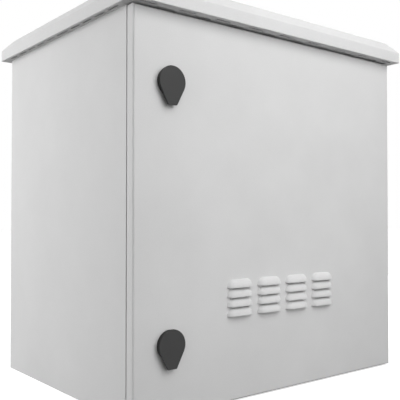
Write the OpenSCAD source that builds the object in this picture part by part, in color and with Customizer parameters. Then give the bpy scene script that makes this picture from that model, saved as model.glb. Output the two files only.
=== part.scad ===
// Outdoor equipment cabinet: a folded steel body with a swing door on concealed hinges,
// two covered cam locks, a vented rain canopy, two exhaust fans and a 19-inch rack.
// Millimetres, +Z up, door towards -Y, origin on the ground under the middle of the body.

/* [Body] */
// Width over the side walls
body_w = 600; // [590:1:700]
// Depth from the door's face to the back wall
body_d = 450; // [430:1:600]
// Height of the body up to the canopy's seat
body_h = 602; // [600:1:720]
// Thickness of the sheet steel
sheet = 1.5; // [1.2:0.1:1.8]
// Outside radius of the folds
fold_r = 3; // [2:0.5:4]
// Height of the bottom tray's floor above the ground
tray_h = 22; // [18:1:40]
// Width of the foot flange under the bottom tray
foot_w = 26; // [24:1:40]
// Depth of the turned-down edge of the top plate
top_edge = 16; // [10:1:20]

/* [Door] */
// Depth of the door pan from its face to its rear edge
door_depth = 16.5; // [16:0.5:20]
// Gap between the door's rear edge and the front frame
seam_gap = 2.5; // [2.3:0.1:4]
// Gap between the door's top edge and the canopy
door_top_gap = 2; // [1.5:0.5:4]
// Gap between the door's bottom edge and the ground
door_foot_gap = 2; // [1:0.5:6]
// Width of the front frame, from the body's outside to the door opening
frame_w = 32; // [32:1:40]
// Height of the sealing lip round the door opening
gutter_h = 11; // [9:0.5:12]
// Corner radius of the door opening
opening_r = 12; // [6:1:20]
// Width of the door gasket
gasket_w = 8; // [6:0.5:9]

/* [Louvres] */
// Number of louvre columns
louvre_columns = 4; // [1:1:5]
// Number of louvre rows
louvre_rows = 4; // [1:1:6]
// Width of one louvre
louvre_w = 54; // [40:1:60]
// Height of one louvre
louvre_h = 13; // [9:0.5:14]
// How far a louvre stands out of the door
louvre_out = 8; // [5:0.5:9]
// Distance between louvre columns
louvre_column_pitch = 65.5; // [62:0.5:80]
// Distance between louvre rows
louvre_row_pitch = 15; // [14.5:0.25:20]
// Height of the lowest louvre's edge above the ground
louvre_low_z = 136.25; // [110:0.25:200]

/* [Filter] */
// Depth of the filter tray behind the door's skin
filter_depth = 10; // [7:0.5:12]
// Margin of the filter tray round the louvres
filter_margin = 14; // [10:1:24]
// Thickness of the filter tray's sheet
filter_sheet = 1; // [0.8:0.1:1.5]
// Width of the tray's fixing ears
filter_ear = 14; // [12:1:20]
// Number of air windows along the filter tray
filter_windows = 7; // [3:1:9]
// Width of the bars between the air windows
filter_bar = 6; // [4:0.5:8]

/* [Locks] */
// Distance from the door's left edge to the locks
lock_inset = 63; // [60:1:90]
// Distance from the door's bottom edge to the lower lock
lock_low_inset = 104; // [95:1:140]
// Distance from the door's top edge to the upper lock
lock_top_inset = 106; // [95:1:140]
// Radius of the round head of a lock cover
cover_r = 23.4; // [23.2:0.2:26]
// Width of a lock cover's tab
cover_tab_w = 17; // [12:0.5:20]
// Distance from the lock's centre down to the end of the tab
cover_drop = 35; // [32:0.5:42]
// Radius of the tab's corners
cover_tab_r = 1.5; // [1:0.5:4]
// Distance from the door's face to the front of a lock cover
cover_face = 9; // [7.4:0.1:10]
// Thickness of a lock cover
cover_t = 2.7; // [2:0.1:3.5]
// Distance from the lock's centre up to the cover's pivot
cover_pivot = 17.5; // [16:0.5:18]
// Radius of the cover's pivot post
pivot_r = 1.5; // [1.2:0.1:1.8]
// Radius of the lock's round base
lock_base_r = 22; // [20:0.5:23]
// Radius of the lock's barrel behind the door
barrel_r = 10; // [9:0.5:11]
// Radius of the turning core
core_r = 6; // [5:0.5:6.5]
// Radius of the core's head
core_head_r = 7.5; // [7.2:0.1:8]
// Width across the core's square end
core_square = 8; // [6:0.5:8]
// Distance from the lock's centre to the tip of the cam
cam_reach = 45; // [40:1:52]
// Width of the cam
cam_w = 14; // [12:0.5:16]
// Thickness of the cam
cam_t = 2.5; // [2:0.5:4]

/* [Hinges] */
// Distance from the door's right edge to the hinge axis
axis_in = 6.5; // [6:0.1:6.6]
// Distance from the door's face to the hinge axis
axis_back = 6.5; // [6:0.1:7]
// Distance from the door's top and bottom edges to the middle of a hinge
hinge_inset = 99; // [60:1:150]
// Height of each half of a hinge
hinge_h = 28; // [22:1:40]
// Radius of the hinge pins
pin_r = 2.5; // [2:0.1:3]
// Thickness of the arm where it runs behind the door's skin
arm_t = 3.7; // [3:0.1:3.8]
// Distance between the two screws of a hinge arm
hinge_screw_pitch = 14; // [12:1:16]

/* [Canopy] */
// Overhang of the canopy past the side walls
side_overhang = 14; // [12:0.5:24]
// Overhang of the canopy past the door and the back
end_overhang = 18; // [18:0.5:30]
// Height of the upright fascia
fascia_h = 20.3; // [15:0.1:30]
// Level run of the slope above the fascia
slope_run = 19.7; // [12:0.1:30]
// Rise of the slope above the fascia
slope_rise = 21; // [12:0.5:30]
// Width of the lip that seats on the body
lip_seat = 38; // [34:1:50]
// Length of one vent slot
slot_len = 30; // [20:1:32]
// Width of one vent slot
slot_w = 3.5; // [2.5:0.1:4.5]
// Distance between slots along the sides
side_slot_pitch = 40; // [36:1:46]
// Distance from the canopy's rear edge to the first side slot
side_slot_rear_inset = 50; // [40:1:70]
// Distance from the canopy's front edge to the first side slot
side_slot_front_inset = 64; // [58:1:80]
// Distance between slots along the front and back
end_slot_pitch = 70; // [64:1:72]
// Least distance from a corner of the canopy to the first slot of the front and back lips
end_slot_margin = 12; // [8:1:40]
// Distance from the canopy's front edge to the outer row of slots
end_slot_inset = 9; // [7:0.5:10]
// Distance between the two rows of the front lip
end_row_pitch = 8; // [6:0.5:9]
// Distance between the canopy's bolts, front to back
canopy_bolt_pitch = 300; // [200:5:330]

/* [Rack] */
// Width of the side bars, from the wall to the rails
bar_w = 50.5; // [44:0.5:60]
// Distance from a rail's inner edge to the middle of its holes
rack_hole_inset = 7.55; // [7:0.05:9]
// Gap between the tray's floor and the rails
rail_foot_gap = 4; // [2:0.5:10]
// Gap between the rails' top ends and the edge of the top plate
rail_head_gap = 18.5; // [8:0.5:40]
// Width of the square holes
rack_hole = 9.5; // [9:0.1:9.6]
// Thickness of the rails and bars
rail_t = 2; // [1.5:0.1:2.5]
// Width of a rail's face
rail_face = 23; // [21:1:26]
// Depth of a rail's side
rail_depth = 35; // [28:1:45]
// Distance from the front frame to the front rails
rail_front_set = 56; // [45:1:90]
// Distance from the back wall to the rear rails
rail_rear_set = 40; // [20:1:80]
// Height of the side bars
bar_h = 30; // [24:1:40]
// Distance from a rail's end to the middle of the nearest side bar
bar_inset = 36; // [30:1:60]

/* [Fans] */
// Width of a fan across its flanges
fan_size = 120; // [110:1:130]
// Thickness of a fan
fan_t = 25; // [24:1:38]
// Distance between the fans' middles
fan_pitch = 200; // [150:5:220]
// Distance of the fans behind the middle of the body
fan_back = 9; // [-20:1:40]
// Wall between a fan's bore and its outside
fan_wall = 2.5; // [2:0.1:4]
// Distance between a fan's fixing holes
fan_hole_pitch = 105; // [104:0.5:106]
// Radius of a fan rotor's hub
rotor_hub_r = 19; // [16:0.5:22]
// Number of blades of a fan rotor
fan_blades = 7; // [5:1:9]
// Thickness of a fan guard
guard_t = 2; // [1.5:0.1:3]
// Number of rings of a fan guard
guard_rings = 5; // [3:1:6]

/* [Cable entry] */
// Length of the gland plate
gland_w = 300; // [280:5:380]
// Depth of the gland plate
gland_d = 110; // [100:5:130]
// Distance from the back wall to the middle of the gland plate
gland_set = 105; // [85:1:140]
// Distance from the outer grommets to the ends of the cable opening
grommet_margin = 20; // [10:1:40]
// Radius of the grommet holes
grommet_r = 20; // [14:0.5:24]

/* [Fixing holes] */
// Radius of the plinth bolt holes in the foot flange
plinth_hole_r = 6; // [4:0.5:7]
// Distance from the middle of a plinth hole to the tray's sides
plinth_side_inset = 13.5; // [12:0.5:16]
// Distance from the middle of a plinth hole to the tray's front and rear edge
plinth_inset = 14; // [12:0.5:16]
// Radius of the bolt holes in the back wall
wall_hole_r = 5.5; // [4:0.5:7]
// Distance between the back wall's holes across the body
wall_x_pitch = 400; // [300:5:420]
// Distance between the back wall's holes in height
wall_z_pitch = 400; // [300:5:480]

/* [Hidden] */

$fn = 64;

// Colours
paint = [0.84, 0.84, 0.84];
dark_plastic = [0.26, 0.26, 0.26];
black_plastic = [0.10, 0.10, 0.11];
zinc = [0.72, 0.73, 0.74];
steel = [0.60, 0.61, 0.62];
rubber = [0.14, 0.14, 0.15];
filter_foam = [0.20, 0.20, 0.21];
brass = [0.78, 0.62, 0.32];

// Clearances
pin_play = 0.05;
thread_play = 0.02;
fit_play = 0.1;
hole_play = 0.3;
soft_play = 0.3;
running_gap = 0.3;
hinge_play = 0.5;
arm_sweep_gap = 0.6;
arm_gasket_gap = 1.95;
cam_gap = 1;
cut_over = 1;

// Main planes of the body and the door
side_x = body_w / 2;
front_y = -body_d / 2;
back_y = body_d / 2;
wall_x = side_x - sheet;
wall_y = back_y - sheet;
door_skin_y = front_y + sheet;
door_rear_y = front_y + door_depth;
frame_y = door_rear_y + seam_gap;
frame_rear_y = frame_y + sheet;
door_top = body_h - door_top_gap;
fold_in_r = fold_r - sheet;

// Door opening, sealing lip and gasket
opening_x = side_x - frame_w;
opening_low = frame_w;
opening_high = body_h - frame_w;
lip_y = frame_y - gutter_h;
gasket_out = (gasket_w + sheet) / 2;

// Canopy
canopy_x = side_x + side_overhang;
canopy_y = back_y + end_overhang;
eave_z = body_h + fascia_h;
roof_z = eave_z + slope_rise;
lip_top = body_h + sheet;
slope_angle = atan2(slope_rise, slope_run);
eave_miter = sheet * tan((90 - slope_angle) / 2);
roof_miter = sheet * tan(slope_angle / 2);
lip_open_x = side_x - lip_seat;
lip_open_front = frame_y + lip_seat;
lip_open_rear = back_y - lip_seat;
side_slot_x = side_x + side_overhang / 2;
side_slot_run = 2 * canopy_y - side_slot_rear_inset - side_slot_front_inset;
side_slots = floor(side_slot_run / side_slot_pitch);
side_slots_front = floor(side_slots / 2);
side_slots_rear = side_slots - side_slots_front;
end_slots = floor((2 * (canopy_x - end_slot_margin) - slot_len) / end_slot_pitch) + 1;
butt_slit = 0.5;
butt_front_set = 2;
butt_rear_set = 1;
butt_front_y = frame_y - butt_front_set;
butt_rear_y = back_y + butt_rear_set;
canopy_bolt_x = side_x - lip_seat / 2;

// Hinges
axis_x = side_x - axis_in;
axis_y = front_y + axis_back;
knuckle_r = axis_back - sheet - hinge_play;
door_sweep_r = norm([axis_in, door_depth - axis_back]);
arm_leg_in = opening_x + gasket_out + arm_gasket_gap - axis_x;
arm_leg_out = -door_sweep_r - arm_sweep_gap;
arm_bend = 3;
arm_leg_mid = (arm_leg_in + arm_leg_out) / 2;
hinge_block_r = axis_in - sheet;
upper_hinge_z = door_top - hinge_inset;
lower_hinge_z = door_foot_gap + hinge_inset;
hinge_screw_r = 2;
hinge_screw_bite = 9;

// Locks
lock_x = -side_x + lock_inset;
lower_lock_z = door_foot_gap + lock_low_inset;
upper_lock_z = door_top - lock_top_inset;
cover_rear_y = front_y - cover_face + cover_t;
base_front_y = cover_rear_y + running_gap;
pivot_depth = 4.4;
core_head_t = 2;
core_sink = 1;
core_slot = [1.8, 9];
core_slot_depth = 12;
cam_y = frame_rear_y + cam_gap;
cam_rear_y = cam_y + cam_t;
barrel_end_y = cam_y - cam_gap / 2;
cam_boss_r = 10;
square_short = 0.2;
lock_nut_t = 6;
lock_nut_af = 27;
cam_screw_r = 2.5;
cam_screw_bite = 9;
cam_head_af = 13;
cam_head_h = 4;

// Louvres and filter
louvre_r = (louvre_h * louvre_h + louvre_out * louvre_out) / (2 * louvre_out);
louvre_run = louvre_w - 2 * louvre_h;
louvre_axis_y = front_y - louvre_out + louvre_r;
louvre_field_w = (louvre_columns - 1) * louvre_column_pitch + louvre_w;
louvre_field_top = louvre_low_z + (louvre_rows - 1) * louvre_row_pitch + louvre_h;
louvre_undercut = 0.4;
filter_x = louvre_field_w / 2 + filter_margin;
filter_low = louvre_low_z - filter_margin;
filter_high = louvre_field_top + filter_margin;
filter_rear_y = door_skin_y + filter_depth;
filter_stud_x = filter_x + filter_ear / 2;
filter_stud_z = [filter_low + filter_margin, filter_high - filter_margin];
filter_stud_r = 2;
filter_stud_len = 8;
filter_nut_af = 7;
filter_nut_t = 3.2;

// Rack
rack_unit = 44.45;
unit_holes = [6.35, 22.225, 38.1];
rail_low = tray_h + rail_foot_gap;
rail_high = body_h - sheet - top_edge - rail_head_gap;
rack_units = floor((rail_high - rail_low) / rack_unit);
rail_spare = (rail_high - rail_low - rack_units * rack_unit) / 2;
rail_out = wall_x - bar_w;
rail_in = rail_out - rail_face;
rack_hole_x = rail_in + rack_hole_inset;
rail_front_y = frame_rear_y + rail_front_set;
rail_rear_y = wall_y - rail_rear_set;
bar_low_z = rail_low + bar_inset;
bar_high_z = rail_high - bar_inset;
m6_r = 3;
m6_af = 10;
m6_head = 4;
m6_nut = 5;

// Fans
fan_top = body_h - sheet;
fan_z = fan_top - fan_t;
fan_bore_r = fan_size / 2 - fan_wall;
fan_corner_r = 6;
fan_flange_t = 4;
fan_hole_r = 2.2;
fan_screw_r = 2;
fan_screw_head_r = 3.8;
fan_screw_head = 2.4;
fan_motor_r = 20;
fan_motor_t = 3;
fan_strut_w = 5;
fan_struts = 4;
fan_shaft_r = 1.5;
rotor_gap = 0.5;
rotor_sink = 3;
blade_tip_gap = 1.2;
blade_bite = 1;
rotor_low = fan_z + fan_motor_t + rotor_gap;
rotor_high = fan_top - rotor_sink;
blade_tip_r = fan_bore_r - blade_tip_gap;
blade_root_r = rotor_hub_r - blade_bite;
blade_w = 4.5;
blade_sweep = 24;
blade_twist = 34;
blade_inset = 1.5;
blade_points = 5;
blade_slices = 5;
guard_wire = 2.4;
guard_hub_r = 13;
guard_ear_r = 5;
guard_spokes = 4;
guard_reach = fan_hole_pitch / sqrt(2);

// Cable entry and earth points
gland_y = wall_y - gland_set;
gland_rim = 16;
gland_screw_inset = 7;
gland_screw_r = 2;
gland_screw_len = 8;
gland_head_r = 4;
gland_head = 2.5;
grommet_rim = 4;
grommet_rim_t = 2.5;
grommet_skin = 1.2;
grommet_pitch = gland_w / 2 - gland_rim - grommet_margin - grommet_r - grommet_rim;
earth_side = 40;
earth_set = 26;
earth_x = -side_x + earth_side;
earth_y = frame_rear_y + earth_set;
earth_r = 4;
earth_len = 24;
earth_af = 13;
earth_nut_t = 6.5;
door_earth_side = 36;
door_earth_set = 26;
door_earth_x = opening_x - door_earth_side;
door_earth_z = opening_low + door_earth_set;
door_earth_r = 3;
door_earth_len = 11;
door_earth_af = 10;
door_earth_nut_t = 5;

// Fixing holes
plinth_x = wall_x - plinth_side_inset;
plinth_y = [frame_rear_y + plinth_inset, wall_y - plinth_inset];
wall_hole_z = body_h / 2;

// Extrusions of a flat outline along one axis
module along_z(z0, z1) translate([0, 0, z0]) linear_extrude(z1 - z0) children();
module along_y(y0, y1) translate([0, y1, 0]) rotate([90, 0, 0]) linear_extrude(y1 - y0) children();
module along_x(x0, x1) translate([x0, 0, 0]) rotate([90, 0, 90]) linear_extrude(x1 - x0) children();

// Flat outlines between two corners, square or with all four corners round
module flat_box(low, high) translate(low) square(high - low);
module round_box(low, high, r) {
    flat_box([low.x + r, low.y], [high.x - r, high.y]);
    flat_box([low.x, low.y + r], [high.x, high.y - r]);
    for (x = [low.x + r, high.x - r], y = [low.y + r, high.y - r]) translate([x, y]) circle(r);
}

// A round rod along Y or X, used for pins, shanks and the holes that take them
module rod_y(x, z, y0, y1, r) translate([x, y0, z]) rotate([-90, 0, 0]) cylinder(h = y1 - y0, r = r);
module rod_x(y, z, x0, x1, r) translate([x0, y, z]) rotate([0, 90, 0]) cylinder(h = x1 - x0, r = r);
module rod_z(x, y, z0, z1, r) translate([x, y, z0]) cylinder(h = z1 - z0, r = r);

// A hexagon by its width across the flats
module hexagon(af) circle(r = af / (2 * cos(30)), $fn = 6);

// The two places at half a span either side of a middle
function pair(mid, span) = [mid - span / 2, mid + span / 2];

// Left and right copies
module both_sides() {
    children();
    mirror([1, 0, 0]) children();
}

// Outline of the inside or outside of the wrap, round at the two rear folds
module wrap_outline(half_w, y0, y1, r) {
    round_box([-half_w, y0], [half_w, y1], r);
    flat_box([-half_w, y0], [half_w, y1 - r]);
}

// Side walls and back, folded from one sheet
module body_wrap() color(paint) difference() {
    along_z(0, body_h) difference() {
        wrap_outline(side_x, frame_y, back_y, fold_r);
        wrap_outline(wall_x, frame_y - cut_over, wall_y, fold_in_r);
    }
    for (x = pair(0, wall_x_pitch), z = pair(wall_hole_z, wall_z_pitch))
        rod_y(x, z, wall_y - cut_over, back_y + cut_over, wall_hole_r);
}

// Front frame: a flange behind the door with a raised sealing lip round the opening
module front_frame() color(paint) difference() {
    union() {
        along_y(frame_y, frame_rear_y) flat_box([-wall_x, 0], [wall_x, body_h]);
        along_y(lip_y, frame_y + sheet / 2) opening_outline(sheet);
    }
    along_y(lip_y - cut_over, frame_rear_y + cut_over) opening_outline(0);
    hinge_screw_places()
        rod_y(0, 0, frame_y - cut_over, frame_rear_y + cut_over, hinge_screw_r + hole_play);
}
module opening_outline(grow) round_box(
    [-opening_x - grow, opening_low - grow],
    [opening_x + grow, opening_high + grow],
    opening_r + grow
);

// Top plate with turned-down edges and an outlet over each fan
module top_plate() color(paint) difference() {
    along_z(body_h - sheet - top_edge, body_h) wrap_outline(wall_x, frame_rear_y, wall_y, fold_in_r);
    along_z(body_h - sheet - top_edge - cut_over, body_h - sheet) plate_inside();
    for (x = pair(0, fan_pitch)) {
        rod_z(x, fan_back, fan_top - cut_over, body_h + cut_over, fan_bore_r);
        fan_corners(x) rod_z(0, 0, fan_top - cut_over, body_h + cut_over, fan_screw_r + thread_play);
    }
    canopy_bolt_places() rod_z(0, 0, fan_top - cut_over, body_h + cut_over, m6_r + hole_play);
}
module plate_inside() flat_box([-wall_x + sheet, frame_rear_y + sheet], [wall_x - sheet, wall_y - sheet]);

// Bottom tray: a raised floor on turned-down edges that end in foot flanges
module bottom_tray() color(paint) difference() {
    along_z(0, tray_h) wrap_outline(wall_x, frame_rear_y, wall_y, fold_in_r);
    along_z(sheet, tray_h - sheet) plate_inside();
    along_z(-cut_over, sheet + cut_over) flat_box(
        [-wall_x + foot_w, frame_rear_y + foot_w],
        [wall_x - foot_w, wall_y - foot_w]
    );
    along_z(sheet, tray_h + cut_over) gland_outline(gland_rim);
    for (x = pair(0, 2 * plinth_x), y = plinth_y) rod_z(x, y, -cut_over, sheet + cut_over, plinth_hole_r);
    gland_screw_places() rod_z(0, 0, sheet, tray_h + cut_over, gland_screw_r + thread_play);
    rod_z(earth_x, earth_y, tray_h - sheet - cut_over, tray_h + cut_over, earth_r + thread_play);
}

// Roof canopy: flat top, hipped slopes, fascia and a slotted lip that seats on the body
module roof_canopy() color(paint) difference() {
    roof_form(0, body_h);
    roof_form(1, lip_top);
    along_z(body_h - cut_over, lip_top + cut_over) {
        flat_box([-lip_open_x, lip_open_front], [lip_open_x, lip_open_rear]);
        both_sides() lip_side_cuts();
        for (i = [0 : end_slots - 1]) {
            x = (i - (end_slots - 1) / 2) * end_slot_pitch;
            translate([x, -canopy_y + end_slot_inset]) slot(slot_len);
            translate([x, canopy_y - end_slot_inset]) slot(slot_len);
        }
        for (i = [0 : end_slots - 2]) {
            x = (i - (end_slots - 2) / 2) * end_slot_pitch;
            translate([x, -canopy_y + end_slot_inset + end_row_pitch]) slot(slot_len);
        }
    }
    canopy_bolt_places() rod_z(0, 0, body_h - cut_over, lip_top + cut_over, m6_r + hole_play);
}

// The canopy's closed form, or with walls = 1 the space inside its sheet
module roof_form(walls, low) intersection() {
    along_y(-canopy_y + walls * sheet, canopy_y - walls * sheet) roof_outline(canopy_x, walls, low);
    along_x(-canopy_x + walls * sheet, canopy_x - walls * sheet) roof_outline(canopy_y, walls, low);
}
module roof_outline(half_w, walls, low) {
    eave = [half_w - walls * sheet, eave_z - walls * eave_miter];
    ridge = [half_w - slope_run - walls * roof_miter, roof_z - walls * sheet];
    polygon([[-eave.x, low], [eave.x, low], eave, ridge, [-ridge.x, ridge.y], [-eave.x, eave.y]]);
}
module slot(len) {
    square([len - slot_w, slot_w], center = true);
    for (x = pair(0, len - slot_w)) translate([x, 0]) circle(slot_w / 2);
}

// Cuts in the right-hand lip: a run of slots from each end, a long one between, the butt joints
module lip_side_cuts() {
    rear = [for (i = [0 : side_slots_rear - 1]) canopy_y - side_slot_rear_inset - i * side_slot_pitch];
    front = [for (i = [0 : side_slots_front - 1]) -canopy_y + side_slot_front_inset + i * side_slot_pitch];
    rear_last = rear[side_slots_rear - 1];
    front_last = front[side_slots_front - 1];
    web = side_slot_pitch - slot_len;
    for (y = concat(rear, front)) translate([side_slot_x, y]) rotate(90) slot(slot_len);
    translate([side_slot_x, (rear_last + front_last) / 2])
        rotate(90) slot(rear_last - front_last - slot_len - 2 * web);
    for (y = [butt_front_y, butt_rear_y])
        flat_box([lip_open_x, y], [canopy_x - sheet, y + butt_slit]);
}

// Bolts that hold the canopy down, put in from inside the body
module canopy_bolt_places() for (x = pair(0, 2 * canopy_bolt_x), y = pair(0, canopy_bolt_pitch))
    translate([x, y, 0]) children();
module canopy_bolts() color(zinc) canopy_bolt_places() {
    along_z(fan_top - m6_head, fan_top) hexagon(m6_af);
    rod_z(0, 0, fan_top - cut_over, lip_top + m6_nut + cut_over, m6_r);
}
module canopy_nuts() color(zinc) canopy_bolt_places() along_z(lip_top, lip_top + m6_nut) difference() {
    hexagon(m6_af);
    circle(m6_r + thread_play);
}

// Side bar: a channel along the side wall that carries a front and a rear rail
module side_bar(z) color(zinc) difference() {
    along_y(rail_front_y, rail_rear_y) difference() {
        flat_box([rail_out, z - bar_h / 2], [wall_x, z + bar_h / 2]);
        flat_box([rail_out + rail_t, z - bar_h / 2 + rail_t], [wall_x - rail_t, z + bar_h]);
    }
    for (y = rail_bolt_y())
        rod_x(y, z, rail_out - cut_over, rail_out + rail_t + cut_over, m6_r + hole_play);
}
function rail_bolt_y() = [rail_front_y + rail_t + rail_depth / 2, rail_rear_y - rail_t - rail_depth / 2];

// Rack rail: an angle with the standard column of square holes in its face
module rack_rail(y, facing) color(zinc) difference() {
    union() {
        along_y(min(y, y + facing * rail_t), max(y, y + facing * rail_t)) difference() {
            flat_box([rail_in, rail_low], [rail_out, rail_high]);
            for (u = [0 : rack_units - 1], h = unit_holes)
                translate([rack_hole_x, rail_low + rail_spare + u * rack_unit + h])
                    square(rack_hole, center = true);
        }
        along_y(min(y, y + facing * rail_depth), max(y, y + facing * rail_depth))
            flat_box([rail_out - rail_t, rail_low], [rail_out, rail_high]);
    }
    for (z = [bar_low_z, bar_high_z], by = rail_bolt_y())
        rod_x(by, z, rail_out - rail_t - cut_over, rail_out + cut_over, m6_r + hole_play);
}

// Bolts and nuts that hold the rails to the bars
module rail_bolt_places() both_sides() for (y = rail_bolt_y(), z = [bar_low_z, bar_high_z])
    translate([0, y, z]) children();
module rail_bolts() color(zinc) rail_bolt_places() {
    along_x(rail_out - rail_t - m6_head, rail_out - rail_t) hexagon(m6_af);
    rod_x(0, 0, rail_out - rail_t - cut_over, rail_out + rail_t + m6_nut + cut_over, m6_r);
}
module rail_nuts() color(zinc) rail_bolt_places()
    along_x(rail_out + rail_t, rail_out + rail_t + m6_nut) difference() {
        hexagon(m6_af);
        circle(m6_r + thread_play);
    }

// Fan frame: two flanges on a round duct, with the motor's plate on struts
module fan_corners(x) for (dx = pair(0, fan_hole_pitch), dy = pair(0, fan_hole_pitch))
    translate([x + dx, fan_back + dy, 0]) children();
module fan_frame(x) color(black_plastic) difference() {
    union() {
        translate([x, fan_back, 0]) difference() {
            union() {
                along_z(fan_z, fan_z + fan_flange_t) fan_square();
                along_z(fan_top - fan_flange_t, fan_top) fan_square();
                along_z(fan_z, fan_top) circle(fan_size / 2);
            }
            rod_z(0, 0, fan_z - cut_over, fan_top + cut_over, fan_bore_r);
        }
        translate([x, fan_back, 0]) along_z(fan_z, fan_z + fan_motor_t) {
            circle(fan_motor_r);
            for (i = [0 : fan_struts - 1]) rotate(i * 360 / fan_struts)
                translate([fan_motor_r - cut_over, -fan_strut_w / 2])
                    square([fan_bore_r - fan_motor_r + cut_over + fan_wall / 2, fan_strut_w]);
        }
    }
    rod_z(x, fan_back, fan_z - cut_over, fan_z + fan_motor_t + cut_over, fan_shaft_r + pin_play);
    fan_corners(x) rod_z(0, 0, fan_z - cut_over, fan_top + cut_over, fan_hole_r);
}
module fan_square() round_box([-1, -1] * fan_size / 2, [1, 1] * fan_size / 2, fan_corner_r);

// Fan rotor: a hub with a shaft and swept, twisted blades
module fan_rotor(x) color(black_plastic) translate([x, fan_back, 0]) {
    rod_z(0, 0, rotor_low, rotor_high, rotor_hub_r);
    rod_z(0, 0, fan_z + running_gap, rotor_low + cut_over, fan_shaft_r);
    translate([0, 0, rotor_low + blade_inset]) for (i = [0 : fan_blades - 1]) rotate(i * 360 / fan_blades)
        linear_extrude(rotor_high - rotor_low - 2 * blade_inset, twist = blade_twist,
            slices = blade_slices, segments = 2 * blade_points + 2)
                polygon(concat(blade_edge(-1, 0, 1), blade_edge(1, blade_points, -1)));
}
// One edge of a blade from root to tip, or back, curving forward towards the tip
function blade_edge(side, from, step) = [for (i = [0 : blade_points])
    let (t = (from + i * step) / blade_points, r = blade_root_r + t * (blade_tip_r - blade_root_r),
        a = blade_sweep * t * t)
    [r * cos(a) - side * blade_w / 2 * sin(a), r * sin(a) + side * blade_w / 2 * cos(a)]
];

// Fan guard: flat rings on four spokes that end in fixing ears
module fan_guard(x) color(steel) difference() {
    translate([x, fan_back, 0]) along_z(fan_z - guard_t, fan_z) {
        ring_step = (fan_bore_r + guard_wire - guard_hub_r) / (guard_rings - 1);
        for (i = [0 : guard_rings - 1]) difference() {
            circle(guard_hub_r + i * ring_step);
            circle(guard_hub_r + i * ring_step - guard_wire);
        }
        for (i = [0 : guard_spokes - 1]) rotate((i + 0.5) * 360 / guard_spokes) {
            translate([guard_hub_r - guard_wire, -guard_wire / 2])
                square([guard_reach - guard_hub_r + guard_wire, guard_wire]);
            translate([guard_reach, 0]) circle(guard_ear_r);
        }
    }
    fan_corners(x) rod_z(0, 0, fan_z - guard_t - cut_over, fan_z + cut_over, fan_hole_r);
}

// Screws that hold each guard and fan up to the top plate
module fan_screws() color(zinc) for (x = pair(0, fan_pitch)) fan_corners(x) {
    rod_z(0, 0, fan_z - guard_t - fan_screw_head, fan_z - guard_t, fan_screw_head_r);
    rod_z(0, 0, fan_z - guard_t - cut_over, body_h, fan_screw_r);
}

// Gland plate over the cable opening, with its screws
module gland_outline(inset) flat_box(
    [-gland_w / 2 + inset, gland_y - gland_d / 2 + inset],
    [gland_w / 2 - inset, gland_y + gland_d / 2 - inset]
);
module gland_screw_places()
    for (x = pair(0, gland_w - 2 * gland_screw_inset), y = pair(gland_y, gland_d - 2 * gland_screw_inset))
        translate([x, y, 0]) children();
module gland_plate() color(paint) difference() {
    along_z(tray_h, tray_h + sheet) gland_outline(0);
    for (i = [-1 : 1])
        rod_z(i * grommet_pitch, gland_y, tray_h - cut_over, tray_h + 2 * sheet, grommet_r);
    gland_screw_places() rod_z(0, 0, tray_h - cut_over, tray_h + 2 * sheet, gland_screw_r + hole_play);
}
module gland_screws() color(zinc) gland_screw_places() {
    rod_z(0, 0, tray_h + sheet, tray_h + sheet + gland_head, gland_head_r);
    rod_z(0, 0, tray_h + sheet - gland_screw_len, tray_h + 2 * sheet, gland_screw_r);
}

// Blind grommet: a rubber ring that grips the plate, closed by a thin skin
module grommet(i) color(rubber) translate([i * grommet_pitch, gland_y, tray_h]) rotate_extrude() {
    flat_box([0, 0], [grommet_r, grommet_skin]);
    flat_box([grommet_r - grommet_rim, -grommet_rim_t], [grommet_r, sheet + grommet_rim_t]);
    flat_box([grommet_r - grommet_rim, -grommet_rim_t], [grommet_r + grommet_rim, 0]);
    flat_box([grommet_r - grommet_rim, sheet], [grommet_r + grommet_rim, sheet + grommet_rim_t]);
}

// Earth point on the tray
module earth_stud() color(brass) rod_z(earth_x, earth_y, tray_h - sheet, tray_h + earth_len, earth_r);
module earth_nut() color(brass) translate([earth_x, earth_y, 0]) along_z(tray_h, tray_h + earth_nut_t)
    difference() {
        hexagon(earth_af);
        circle(earth_r + thread_play);
    }

// Hinge arm: a swan neck from the frame round to the hinge axis inside the door's edge
module hinge_arm(z) color(zinc) difference() {
    translate([axis_x, axis_y, 0]) along_z(z - hinge_h, z) difference() {
        hinge_arm_outline();
        circle(pin_r + thread_play);
    }
    hinge_arm_screws(z)
        rod_y(0, 0, frame_y - hinge_screw_bite, frame_y + cut_over, hinge_screw_r + thread_play);
}
module hinge_arm_outline() {
    circle(knuckle_r);
    flat_box([arm_leg_in + arm_bend, -knuckle_r], [0, -knuckle_r + arm_t]);
    flat_box([arm_leg_in, -knuckle_r + arm_bend], [arm_leg_out, frame_y - axis_y]);
    flat_box([arm_leg_in + arm_bend, -knuckle_r], [arm_leg_out, -knuckle_r + arm_bend + arm_t]);
    translate([arm_leg_in + arm_bend, -knuckle_r + arm_bend]) circle(arm_bend);
}
module hinge_arm_screws(z) for (dz = pair(0, hinge_screw_pitch))
    translate([axis_x + arm_leg_mid, 0, z - hinge_h / 2 + dz]) children();
module hinge_screw_places() for (z = [lower_hinge_z, upper_hinge_z]) hinge_arm_screws(z) children();
module hinge_screws() color(zinc) hinge_screw_places() {
    rod_y(0, 0, frame_rear_y, frame_rear_y + fan_screw_head, fan_screw_head_r);
    rod_y(0, 0, frame_y - hinge_screw_bite, frame_rear_y + cut_over, hinge_screw_r);
}

// Hinge pin, fast in the arm and running in the door's block
module hinge_pin(z) color(steel) rod_z(axis_x, axis_y, z - hinge_h, z + hinge_h - cut_over, pin_r);

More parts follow.
